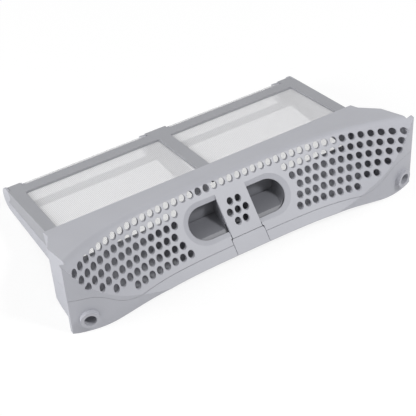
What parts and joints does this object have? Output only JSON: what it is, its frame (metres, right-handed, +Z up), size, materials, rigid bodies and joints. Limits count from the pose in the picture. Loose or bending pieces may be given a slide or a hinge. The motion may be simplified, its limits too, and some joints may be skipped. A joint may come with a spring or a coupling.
{
  "type": "tumble dryer lint filter",
  "caption": "Wide fold-open lint filter for a tumble dryer, with a perforated finger-grip front, two fine mesh windows, a hinged rear nose and a spring latch.",
  "frame": {"origin": "middle of the footprint on the surface the filter rests on", "axes": "+X along the width, +Y to the hinged rear nose, -Y to the perforated front, +Z up"},
  "size_m": [0.391, 0.2118, 0.0825],
  "materials": {
    "grille_plastic": "light grey moulded polypropylene, fine satin grain",
    "frame_plastic": "mid grey moulded polypropylene, fine satin grain",
    "cup_plastic": "darker grey moulded polypropylene",
    "mesh_cloth": "white polyester monofilament mesh",
    "pin_steel": "bright drawn wire"
  },
  "bodies": {
    "lower": {"lower_shell": "grille_plastic", "belly_mesh_left": "mesh_cloth", "belly_mesh_right": "mesh_cloth", "nose_mesh_left": "mesh_cloth", "nose_mesh_right": "mesh_cloth", "hinge_pin_left": "pin_steel", "hinge_pin_middle": "pin_steel", "hinge_pin_right": "pin_steel", "latch_pin": "pin_steel"},
    "upper": {"front_grille": "grille_plastic", "grip_cup": "cup_plastic", "upper_frame": "frame_plastic", "upper_mesh_left": "mesh_cloth", "upper_mesh_right": "mesh_cloth"},
    "latch": {"latch_hook": "grille_plastic"}
  },
  "joints": [
    {"name": "shell_hinge", "type": "hinge", "parent": "lower", "child": "upper", "pos_m": [0, 0.09414, 0.0205], "axis": [-1, 0, 0], "range_deg": [0, 95]},
    {"name": "latch_pivot", "type": "hinge", "parent": "lower", "child": "latch", "pos_m": [0, -0.08862, 0.01493], "axis": [-1, 0, 0], "range_deg": [0, 8], "stiffness_Nm_per_rad": 0.05}
  ]
}
